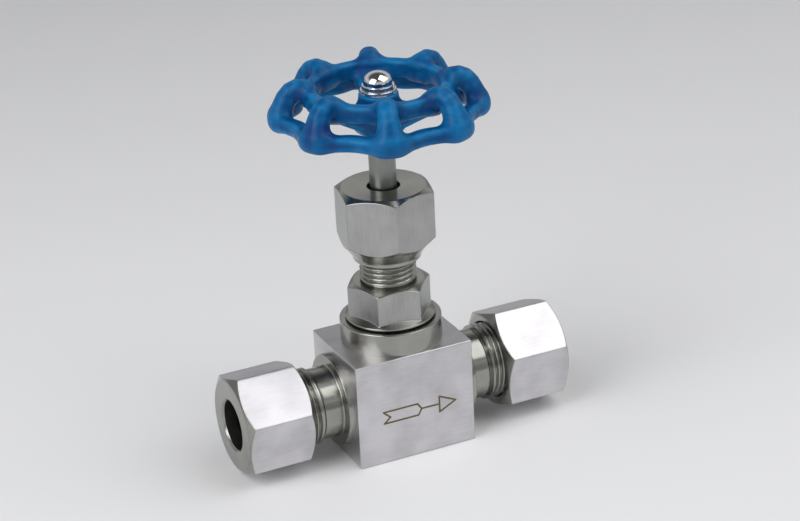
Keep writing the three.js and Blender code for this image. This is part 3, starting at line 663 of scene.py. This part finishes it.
def wheel_field(p, blend):
    """Signed distance, in mm, to the handwheel at points p: the ring, the wavy band, eight lobes,
    three spokes and the hub, each flowing into the next, less the square hole."""
    r = np.hypot(p[:, 0], p[:, 1])
    z = p[:, 2]
    ring = box_field(r - RING, z - RING_HEIGHT, 1.5, 2.5, 1.35)
    skirt = box_field(r - RING + 0.75, z - RING_HEIGHT + 0.7, 0.75, 2.7, 0.7)
    ring = blended(ring, skirt, 0.8)
    swing = np.cos(LOBES * (np.arctan2(p[:, 1], p[:, 0]) - math.radians(LOBE_TURN)))
    rim = 28.2 + 1.45 * swing
    band = box_field(r - rim + 2.3, z - BAND_HEIGHT, 2.3, 2.1, 1.5)
    u, v, _ = folded(p, LOBE_TURN, LOBES)
    start, step = LOBE_LINE[:-1], np.diff(LOBE_LINE, axis=0)
    over = np.full(len(p), 1e9)
    for (su, sz, half), (du, dz, grow) in zip(start, step):
        t = np.clip(((u - su) * du + (z - sz) * dz) / (du * du + dz * dz), 0, 1)
        over = np.minimum(over, np.hypot(u - su - t * du, z - sz - t * dz) - half - t * grow)
    wide = 2.75 + 1.1 * np.clip((106.5 - z) / 8, 0, 1)
    lobe = box_field(over + 3.4, v, 3.4, wide, 2.5)
    u, v, _ = folded(p, SPOKE_TURN, SPOKES)
    share = np.clip((u - HUB) / (RING - HUB), 0, 1)
    bar = box_field(v, z - (97.9 + 5.5 * share), 3.7 + 1.2 * share ** 2, 3.6 - 2.3 * share, 1.2)
    spoke = np.maximum(bar, np.abs(u - RING / 2) - RING / 2)
    flare = np.exp(-np.maximum(z - 94, 0) / 2.5)
    hub = box_field(r, z - HUB_HEIGHT, HUB + flare, 5.4, 0.7)
    # The ring and the band meet only in the lobes, so these two are all but unblended
    rim_and_lobes = blended(blended(ring, lobe, blend), blended(band, lobe, blend), 0.01)
    whole = blended(rim_and_lobes, blended(spoke, hub, 2.5), blend * 0.8)
    turn = math.radians(SPOKE_TURN)
    a = p[:, 0] * math.cos(turn) + p[:, 1] * math.sin(turn)
    b = -p[:, 0] * math.sin(turn) + p[:, 1] * math.cos(turn)
    hole = np.maximum(np.abs(a), np.abs(b)) - SQUARE_HOLE
    return np.maximum(whole, -hole)


def cast_wheel(node, voxel, blend):
    """The zero level of the wheel's field. A copy of the node is remeshed evenly; then its points
    are evened out along their edges and moved along the field's slope until the field is zero.
    The field's bend, the sum of its second differences, marks the convex edges for the enamel's
    painted highlight."""
    copy = bpy.data.objects.new("wheel_seed", node.data.copy())
    bpy.context.scene.collection.objects.link(copy)
    merged = bmesh.new()
    merged.from_mesh(copy.data)
    bmesh.ops.remove_doubles(merged, verts=merged.verts, dist=1e-6)
    merged.to_mesh(copy.data)
    merged.free()
    remesh = copy.modifiers.new("even", "REMESH")
    remesh.mode = "VOXEL"
    remesh.voxel_size = voxel
    view = bpy.context.evaluated_depsgraph_get()
    mesh = bpy.data.meshes.new_from_object(copy.evaluated_get(view))
    bpy.data.objects.remove(copy)
    count = len(mesh.vertices)
    p = np.zeros(count * 3, np.float32)
    mesh.vertices.foreach_get("co", p)
    p = p.reshape(-1, 3).astype(float) / MM
    ends = np.zeros(len(mesh.edges) * 2, np.int32)
    mesh.edges.foreach_get("vertices", ends)
    ends = ends.reshape(-1, 2)
    both = np.concatenate([ends, ends[:, ::-1]])
    valence = np.bincount(both[:, 0], minlength=count)[:, None]
    near, far = 0.03, 0.45       # steps that the slope and the bend are read over
    passes, evened = 9, (1, 3, 5)
    for turn in range(passes):
        if turn in evened:
            mean = np.stack([np.bincount(both[:, 0], p[both[:, 1], k], count)
                             for k in range(3)], -1) / valence
            p = p + 0.5 * (mean - p)
        value = wheel_field(p, blend)
        grad = np.stack([(wheel_field(p + o, blend) - wheel_field(p - o, blend)) / (2 * near)
                         for o in np.eye(3) * near], -1)
        grad = grad / np.maximum((grad ** 2).sum(-1, keepdims=True), 0.2)
        p = p - np.clip(value, -0.5, 0.5)[:, None] * grad
    bend = sum(wheel_field(p + s * o * far, blend) for o in np.eye(3) for s in (1, -1))
    bend = (bend - 6 * wheel_field(p, blend)) / far ** 2
    for _ in range(4):
        bend = 0.4 * bend + 0.6 * np.bincount(both[:, 0], bend[both[:, 1]], count) / valence[:, 0]
    mesh.vertices.foreach_set("co", (p * MM).astype(np.float32).ravel())
    # The edge mark drives the enamel's painted highlight
    mark = mesh.attributes.new("edge", "FLOAT", "POINT")
    mark.data.foreach_set("value", np.clip(bend * 0.35, 0, 0.6).astype(np.float32))
    mesh.update()
    mesh.shade_smooth()
    return mesh


# ---- Operators ----------------------------------------------------------------------------


def engraved(block, lines, front, finishes):
    """The block's mesh with the lines cut into its front face, and etched steel on their floor."""
    line, deep = in_mm("mark_line", "mark_depth")
    points, faces = strips(lines, line, front, deep)
    mesh = bpy.data.meshes.new("arrow_cutter")
    mesh.from_pydata((points * MM).tolist(), [], faces)
    mesh.materials.append(etched_steel())
    cutter = bpy.data.objects.new("arrow_cutter", mesh)
    bpy.context.scene.collection.objects.link(cutter)
    trim = block.modifiers.new("engraving", "BOOLEAN")
    trim.operation, trim.solver, trim.object = "DIFFERENCE", "EXACT", cutter
    trim.use_self = True
    trim.material_mode = "TRANSFER"
    view = bpy.context.evaluated_depsgraph_get()
    made = bpy.data.meshes.new_from_object(block.evaluated_get(view))
    bpy.data.objects.remove(block)
    bpy.data.objects.remove(cutter)
    # The cut leaves slivers where the rounds of three lines meet in one point
    merged = bmesh.new()
    merged.from_mesh(made)
    bmesh.ops.remove_doubles(merged, verts=merged.verts, dist=0.002 * MM)
    bmesh.ops.dissolve_degenerate(merged, edges=merged.edges, dist=0.002 * MM)
    merged.to_mesh(made)
    merged.free()
    wanted = [m.name for m in finishes]
    place = np.array([wanted.index(m.name) for m in made.materials], np.int32)
    kinds = np.zeros(len(made.polygons), np.int32)
    made.polygons.foreach_get("material_index", kinds)
    made.polygons.foreach_set("material_index", place[kinds])
    return made


class VALVE_OT_body(bpy.types.Operator):
    """The block with its boss, its two threaded necks and the flow arrow"""

    bl_idname = "valve.body"
    bl_label = "Body"

    def execute(self, context):
        edge, height, pitch, groove = in_mm("edge", "pipe_height", "pitch", "thread_depth")
        width, block_top, block_edge, boss = in_mm(
            "block_width", "block_height", "block_edge", "boss")
        end, front, top = (span("valve_body", X)[1], span("valve_body", Y)[0],
                           span("valve_body", Z)[1])
        finishes = [ground_steel("X"), turned_steel("X"), turned_steel("Z"), inner_steel("X")]
        angles = round_angles()

        face = width / 2
        disc, neck, relief, crest, passage = 13.3, 10.2, 9.8, 11, 2.5
        start, stop = face + 8.5, face + 14.5
        first = outline((0, face - 1), (disc, face - 1), (disc, face + 2), (neck, face + 2),
                        (neck, face + 7.6), (relief, face + 7.8), (relief, start))
        rows = thread(angles, crest, start, stop, pitch, groove)
        last = outline((crest, stop + 0.1), (crest, end - 1), (10, end), (8.21, end),
                       (TUBE_BORE, end - 5), (TUBE_BORE, end - 8), (passage, end - 8),
                       (passage, face - 0.5), (0, face - 0.5))
        ease = [0, 0.3, 0.35, 0.5, 0.3, 0.2, 0]
        path = np.concatenate([eased(first, ease, False), rows, eased(last, edge, False)])
        # The tube bore takes the inner steel, whose darker tone is painted shade
        socket = len(path) - 5 * CORNER_ROWS
        kind = np.where(np.arange(len(path)) < socket, 1, 3)
        shells = [(about_pipe(path, angles, side, height), False, kind) for side in (-1, 1)]
        lip = outline((10.3, block_top - 1), (boss, block_top - 1), (boss, top), (10.3, top))
        shells.append((about_stem(eased(lip, [0.1, 0.1, 0.45, 0.3]), angles), True, 2))

        # The arrow's feather, head and shaft, as straight lines on the front face
        feather = [(-10.3, 16.0), (0.3, 16.0), (1.5, 14.25), (0.5, 12.45), (-10.2, 12.45),
                   (-8.2, 14.1)]
        head = [(7.1, 16.6), (12.2, 14.2), (7.1, 11.7)]
        lines = [*zip(feather, feather[1:] + feather[:1]), *zip(head, head[1:] + head[:1]),
                 ((1.5, 14.25), (7.1, 14.2))]
        block = lay("block", [(rounded_block(width, -2 * front, block_top, block_edge), False, 0)],
                    finishes)
        finishes = finishes + [etched_steel()]
        fit("valve_body", "valve", "forged_steel", shells, finishes,
            extra=engraved(block, lines, front, finishes))
        return {"FINISHED"}


class VALVE_OT_bonnet(bpy.types.Operator):
    """The bonnet with its collar, hexagon and threaded neck, and its gasket"""

    bl_idname = "valve.bonnet"
    bl_label = "Bonnet and gasket"

    def execute(self, context):
        edge, pitch, groove, flats = in_mm("edge", "pitch", "thread_depth", "bonnet_flats")
        bottom, top = span("bonnet", Z)
        under, collar = span("bonnet_gasket", Z)
        wide, hex_top = 12.8, 49.5
        shank, bore, box, box_floor, shelf, hole = 4.5, 5.15, 6.3, 58, 56.5, 3.9
        angles, side, face, drop = hexagon(flats, 50.7)
        cone = collar + 0.5 + (wide - side) / 2.3 * 1.1
        n = len(angles)
        first = outline((shank, bottom), (9, bottom), (10, bottom + 1), (10, collar),
                        (wide, collar), (wide, collar + 0.5), (side, cone),
                        (side, hex_top - drop), (face, hex_top), (7.3, hex_top),
                        (7.3, hex_top + 0.6), columns=n)
        rows = thread(angles, 8, hex_top + 0.7, hex_top + 8.5, pitch, groove)
        last = outline((8, hex_top + 8.6), (8, top - 0.5), (7.5, top), (box, top),
                       (box, box_floor), (hole, box_floor), (hole, shelf), (bore, shelf),
                       (bore, 37), (shank, 37), (shank, bottom), columns=n)
        ease = [edge, edge, edge, edge, 0.12, 0.16, 0.2, 0.2, 0.25, 0.3, 0.1]
        path = np.concatenate([eased(first, ease, False), rows, eased(last, edge, False)])
        kind = hexagon_finish(path, (6, 5), (7, 2))
        fit("bonnet", "valve", "turned_steel", [(about_stem(path, angles), True, kind)],
            [drawn_steel(), turned_steel("Z")])
        fit_turned("bonnet_gasket", "valve", "copper", [
            (10.3, under), (11.1, under), (11.1, collar), (10.3, collar)],
            annealed_copper(), 0.12)
        return {"FINISHED"}


class VALVE_OT_packing(bpy.types.Operator):
    """The packing washer and rings, the gland follower and the packing nut over them"""

    bl_idname = "valve.packing"
    bl_label = "Packing and packing nut"

    def execute(self, context):
        edge, flats = in_mm("edge", "packing_flats")
        for name in ["packing_washer"] + [f"packing_ring_{k}" for k in (1, 2, 3, 4)]:
            inner, outer = 3.83, span(name, X)[1]
            bottom, top = span(name, Z)
            slot, finish, ease = "graphite", graphite_braid(), 0.4
            if name == "packing_washer":
                slot, finish, ease = "inner_steel", inner_steel("Z"), 0.15
            fit_turned(name, "valve", slot, [
                (inner, bottom), (outer, bottom), (outer, top), (inner, top)], finish, ease)

        bottom, top = span("gland_follower", Z)
        bore, nose, flange, step = 3.9, 6.15, 7.3, top - 1.8
        fit_turned("gland_follower", "gland", "inner_steel", [
            (bore, bottom), (nose, bottom), (nose, step), (flange, step), (flange, top),
            (bore, top)], inner_steel("Z"), edge)

        low, high = span("packing_nut", Z)
        neck, collar, thread_bore, hole, roof = 9.64, 12.1, 8.3, 4.6, top + 0.02
        angles, side, face, drop = hexagon(flats, 19.4)
        corners = outline(
            (thread_bore, low), (neck, low), (neck, low + 1), (collar, low + 4.4),
            (side, low + 4.4 + (side - collar) * 0.9), (side, high - drop), (face, high),
            (hole, high), (hole, roof), (thread_bore, roof), columns=len(angles))
        path = eased(corners, [0.2, 0.3, 0.5, 0.15, 0.2, 0.2, 0.25, 0.3, 0.1, 0.1])
        kind = hexagon_finish(path, (4, 4), (5, 3))
        fit("packing_nut", "packing_nut", "forged_steel", [(about_stem(path, angles), True, kind)],
            [drawn_steel(), turned_steel("Z")])
        return {"FINISHED"}


class VALVE_OT_stem(bpy.types.Operator):
    """The stem with its thread and square, and the needle that it carries"""

    bl_idname = "valve.stem"
    bl_label = "Stem and needle"

    def execute(self, context):
        edge, pitch = in_mm("edge", "pitch")
        bottom, top = span("stem", Z)
        hub = span("handwheel", Z)[0]
        button, waist, root, rod, screw, start, stop = 3.2, 2.3, 3.55, 3.75, 2.5, 38, 50
        angles = round_angles()
        first = outline((0, bottom), (button, bottom), (button, bottom + 2), (waist, bottom + 2),
                        (waist, 35), (root, 35), (root, start))
        rows = thread(angles, 5, start, stop, pitch, 0.8)
        turn = angles - math.radians(SPOKE_TURN)
        square = np.minimum(rod, 2.8 / np.maximum(np.abs(np.cos(turn)), np.abs(np.sin(turn))))
        last = outline((root, stop), (rod, stop + 1), (rod, hub), (square, hub + 0.1),
                       (square, hub + 10.6), (screw, hub + 10.6), (screw, top - 0.3), (2.2, top),
                       (0, top))
        path = np.concatenate([eased(first, edge, False), rows, eased(last, 0.1, False)])
        fit("stem", "stem", "turned_steel", [(about_stem(path, angles), False, 0)],
            [stem_steel()])

        tip, full = span("needle", Z)
        nose, body, slot, pocket = 0.6, 4.2, 2.45, 3.35
        lip, floor = full - 1.5, full - 3.8
        shoulder = tip + 3.6 / math.tan(math.radians(20))
        fit_turned("needle", "needle", "inner_steel", [
            (0, tip), (nose, tip), (body, shoulder), (body, full), (slot, full), (slot, lip),
            (pocket, lip), (pocket, floor), (0, floor)], inner_steel("Z"), 0.08)
        return {"FINISHED"}


class VALVE_OT_handwheel(bpy.types.Operator):
    """The cast handwheel: hub, spokes, ring, eight lobes and wavy band in one flowing surface"""

    bl_idname = "valve.handwheel"
    bl_label = "Handwheel"

    def execute(self, context):
        sizes = context.scene.valve_sizes
        mesh = cast_wheel(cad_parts["handwheel"], sizes.voxel, sizes.blend / MM)
        mesh.name = "handwheel_finish"
        mesh.materials.clear()
        mesh.materials.append(stove_enamel())
        wheel = bpy.data.objects.new("handwheel_finish", mesh)
        context.scene.collection.objects.link(wheel)
        seat(wheel, "stem", "handwheel")
        return {"FINISHED"}


class VALVE_OT_fastening(bpy.types.Operator):
    """The flat washer, the spring washer and the domed nut that hold the handwheel"""

    bl_idname = "valve.fastening"
    bl_label = "Washers and domed nut"

    def execute(self, context):
        hole, flat, spring = 2.65, 5.05, 4.5
        bottom, top = span("flat_washer", Z)
        fit_turned("flat_washer", "stem", "bright_plate", [
            (hole, bottom), (flat, bottom), (flat, top), (hole, top)], zinc_plate(), 0.2)

        # The spring washer is a bar bent nearly all round, cut at a slant across its split.
        bottom, top = span("spring_washer", Z)
        bar = eased(outline((hole, bottom), (spring, bottom), (spring, top), (hole, top),
                            columns=1), 0.12)[:, 0]
        turn = np.linspace(0, 1, 97)[:, None]
        slant = (bar[:, 1] - (bottom + top) / 2) * math.radians(9)
        split, gap = math.radians(-50), math.radians(7)
        a = split + slant + gap + turn * (2 * np.pi - 2 * gap)
        rows = np.stack([bar[:, 0] * np.cos(a), bar[:, 0] * np.sin(a),
                         np.broadcast_to(bar[:, 1], a.shape)], -1)
        ends = [np.broadcast_to(rows[k].mean(0), (1, len(bar), 3)) for k in (0, -1)]
        coil = np.concatenate([ends[0], rows, ends[1]])
        fit("spring_washer", "stem", "bright_plate", [(coil, False, 0)], [zinc_plate()])

        # The domed nut is half an ellipse over a waist, with its foot cut to a hexagon.
        bottom, top = span("dome_nut", Z)
        angles, side, *_ = hexagon(7.9, 0)
        p = np.radians(np.linspace(0, 90, 40))[:, None]
        waist = bottom + 0.7
        rise = np.concatenate([[[bottom]], waist + (top - waist) * np.sin(p)])
        radius = 4.1 * np.concatenate([[[1.0]], np.cos(p)])
        radius = np.where(rise < bottom + 1.1, np.minimum(radius, side), radius)
        dome = np.stack([radius, np.broadcast_to(rise, radius.shape)], -1)
        under = outline((0, top - 1), (hole, top - 1), (hole, bottom), (3.4, bottom),
                        columns=len(angles))
        points = about_stem(np.concatenate([under, dome]), angles)
        fit("dome_nut", "stem", "bright_plate", [(points, False, 0)], [chrome_plate()], sharp=40)
        return {"FINISHED"}


class VALVE_OT_fittings(bpy.types.Operator):
    """The ferrule and the union nut of the inlet and of the outlet"""

    bl_idname = "valve.fittings"
    bl_label = "Tube fittings"

    def execute(self, context):
        height, flats = in_mm("pipe_height", "union_flats")
        neck_end, cone, play = 40, math.tan(math.radians(12)), 0.3
        mouth = TUBE_BORE + 5 * cone
        for name, side, turn in (("inlet", -1, 18.1), ("outlet", 1, 20.4)):
            nose, back = sorted(abs(v) for v in span(f"{name}_ferrule", X))
            swell = neck_end + 1
            radius = [mouth + (x - neck_end) * cone - play for x in (nose, swell)]
            fit_turned(f"{name}_ferrule", f"{name}_ferrule", "inner_steel", [
                (TUBE_BORE, nose), (radius[0], nose), (radius[1], swell), (9.6, 42),
                (9.6, 43.05), (7.55, back), (TUBE_BORE, back)], inner_steel("X"), 0.1,
                about_pipe, side=side, height=height)

            start, end = sorted(abs(v) for v in span(f"{name}_union_nut", X))
            angles, flat, face, drop = hexagon(flats, turn)
            thread_bore = 11.3
            corners = outline(
                (thread_bore, start), (face, start), (flat, start + drop), (flat, end - drop),
                (face, end), (TUBE_BORE + 0.6, end), (TUBE_BORE, end - 0.6),
                (TUBE_BORE, start + 15.95), (9.6, start + 13.5), (thread_bore, start + 12.5),
                columns=len(angles))
            path = eased(corners, [0.4, 0.25, 0.22, 0.22, 0.25, 0.15, 0.15, 0.1, 0.1, 0.1])
            kind = hexagon_finish(path, (2, 4), (3, 3))
            # The bore behind the thread takes the inner steel, whose darker tone is painted shade
            kind[6 * CORNER_ROWS + 3:] = 2
            fit(f"{name}_union_nut", f"{name}_nut", "forged_steel",
                [(about_pipe(path, angles, side, height), True, kind)],
                [ground_steel("X"), turned_steel("X"), inner_steel("X")])
        return {"FINISHED"}


class VALVE_OT_stage(bpy.types.Operator):
    """The pale floor, the softboxes and the camera"""

    bl_idname = "valve.stage"
    bl_label = "Stage"

    def execute(self, context):
        scene, stage = context.scene, context.scene.valve_stage
        e, a, roll = stage.elevation, stage.azimuth, stage.roll
        back = Vector((math.sin(a) * math.cos(e), -math.cos(a) * math.cos(e), math.sin(e)))
        right = Vector((math.cos(a), math.sin(a), 0))
        up = back.cross(right)
        across = right * math.cos(roll) + up * math.sin(roll)
        upright = -right * math.sin(roll) + up * math.cos(roll)
        place = across * stage.aside + upright * stage.above + back * stage.distance
        turn = Matrix((across, upright, back)).transposed().to_4x4()
        lens = bpy.data.cameras.new("camera")
        lens.lens, lens.sensor_width = stage.lens, 36.0
        lens.clip_start, lens.clip_end = 0.01, 20.0
        camera = bpy.data.objects.new("camera", lens)
        camera.matrix_world = Matrix.Translation(place) @ turn
        scene.collection.objects.link(camera)
        scene.camera = camera
        scene.view_settings.view_transform = "Standard"

        # The floor is a wide sheet of paper whose rim curves up all round.
        flat, curl = 1500, 900
        t = np.linspace(0, 1, 40) * np.pi / 2
        rim = np.stack([flat + curl * np.sin(t), curl * (1 - np.cos(t))], -1)
        path = np.concatenate([[[0, 0]], [[400, 0]], [[900, 0]], rim])
        path = np.broadcast_to(path[:, None], (len(path), ROUND, 2))
        points = about_stem(path, round_angles())
        cove = lay("floor", [(points, False, 0)], [])
        if cove.data.polygons[0].normal.z < 0:
            cove.data.flip_normals()

        def dress(tree, where):
            turned = add(tree, "Mapping", {"Rotation": (0, 0, -a)}, {"Vector": where})
            split = add(tree, "SeparateXYZ", None, {"Vector": turned})
            # Painted shade: the paper's colour darkens away from the camera, with a faint fibre
            # noise
            share = add(tree, "MapRange", {
                "From Min": -0.3, "From Max": 0.7, "interpolation_type": "SMOOTHSTEP"},
                {"Value": split.outputs["Y"]})
            fibre = add(tree, "TexNoise", {"Scale": 60.0, "Detail": 5.0}, {"Vector": where})
            fibre_and_painted_shade = add(tree, "Math", {"operation": "MULTIPLY_ADD", 1: 0.03}, {0: fibre, 2: share})
            ramp = add(tree, "ValToRGB", {"stops": [
                (0.0, tuple(stage.floor)), (1.0, tuple(stage.floor_far_painted_shade))]}, {"Fac": fibre_and_painted_shade})
            return {"Roughness": 0.9}, {"Base Color": ramp}

        cove.data.materials.append(material("matt_paper", dress))

        for name, direction, wide, tall, power in (
                ("softbox_right", (0.42, -0.30, 0.86), 1.0, 1.0, stage.key),
                ("softbox_left", (-0.74, -0.25, 0.62), 0.8, 1.1, stage.fill)):
            lamp = bpy.data.lights.new(name, "AREA")
            lamp.shape, lamp.size, lamp.size_y, lamp.energy = "RECTANGLE", wide, tall, power
            box = bpy.data.objects.new(name, lamp)
            toward = Vector(direction).normalized()
            aim = toward.to_track_quat("Z", "Y").to_matrix().to_4x4()
            spot = toward * SOFTBOX_DISTANCE + Vector((0, 0, 0.05))
            box.matrix_world = Matrix.Translation(spot) @ aim
            scene.collection.objects.link(box)

        world = bpy.data.worlds.new("studio")
        scene.world = world
        world.use_nodes = True
        tree = world.node_tree
        tree.nodes.clear()
        ray = add(tree, "TexCoord").outputs["Generated"]
        split = add(tree, "SeparateXYZ", None, {"Vector": ray})
        ramp = add(tree, "ValToRGB", {"stops": [
            (0.42, (0.85, 0.855, 0.86, 1)), (0.78, (0.10, 0.102, 0.105, 1))]},
            {"Fac": split.outputs["Z"]})
        sky = add(tree, "Background", {"Strength": 0.75}, {"Color": ramp})
        add(tree, "OutputWorld", None, {"Surface": sky})
        return {"FINISHED"}


class VALVE_PT_panel(bpy.types.Panel):
    """Lists the valve's pieces, sizes, finishes and stage"""

    bl_idname = "VALVE_PT_panel"
    bl_label = "Needle valve"
    bl_space_type = "VIEW_3D"
    bl_region_type = "UI"
    bl_category = "Needle valve"

    def draw(self, context):
        for operator in PIECES:
            self.layout.operator(operator.bl_idname)
        for group in ("valve_sizes", "valve_finishes", "valve_stage"):
            box = self.layout.box()
            settings = getattr(context.scene, group)
            for name in settings.__annotations__:
                box.prop(settings, name)


PIECES = (VALVE_OT_body, VALVE_OT_bonnet, VALVE_OT_packing, VALVE_OT_stem, VALVE_OT_handwheel,
          VALVE_OT_fastening, VALVE_OT_fittings, VALVE_OT_stage)
CLASSES = (ValveSizes, ValveFinishes, StageSettings, *PIECES, VALVE_PT_panel)


def register():
    for kind in CLASSES:
        bpy.utils.register_class(kind)
    bpy.types.Scene.valve_sizes = PointerProperty(type=ValveSizes)
    bpy.types.Scene.valve_finishes = PointerProperty(type=ValveFinishes)
    bpy.types.Scene.valve_stage = PointerProperty(type=StageSettings)


def unregister():
    del bpy.types.Scene.valve_stage
    del bpy.types.Scene.valve_finishes
    del bpy.types.Scene.valve_sizes
    for kind in reversed(CLASSES):
        bpy.utils.unregister_class(kind)


def main():
    register()
    bpy.ops.valve.body()
    bpy.ops.valve.bonnet()
    bpy.ops.valve.packing()
    bpy.ops.valve.stem()
    bpy.ops.valve.handwheel()
    bpy.ops.valve.fastening()
    bpy.ops.valve.fittings()
    bpy.ops.valve.stage()


if __name__ == "__main__":
    main()
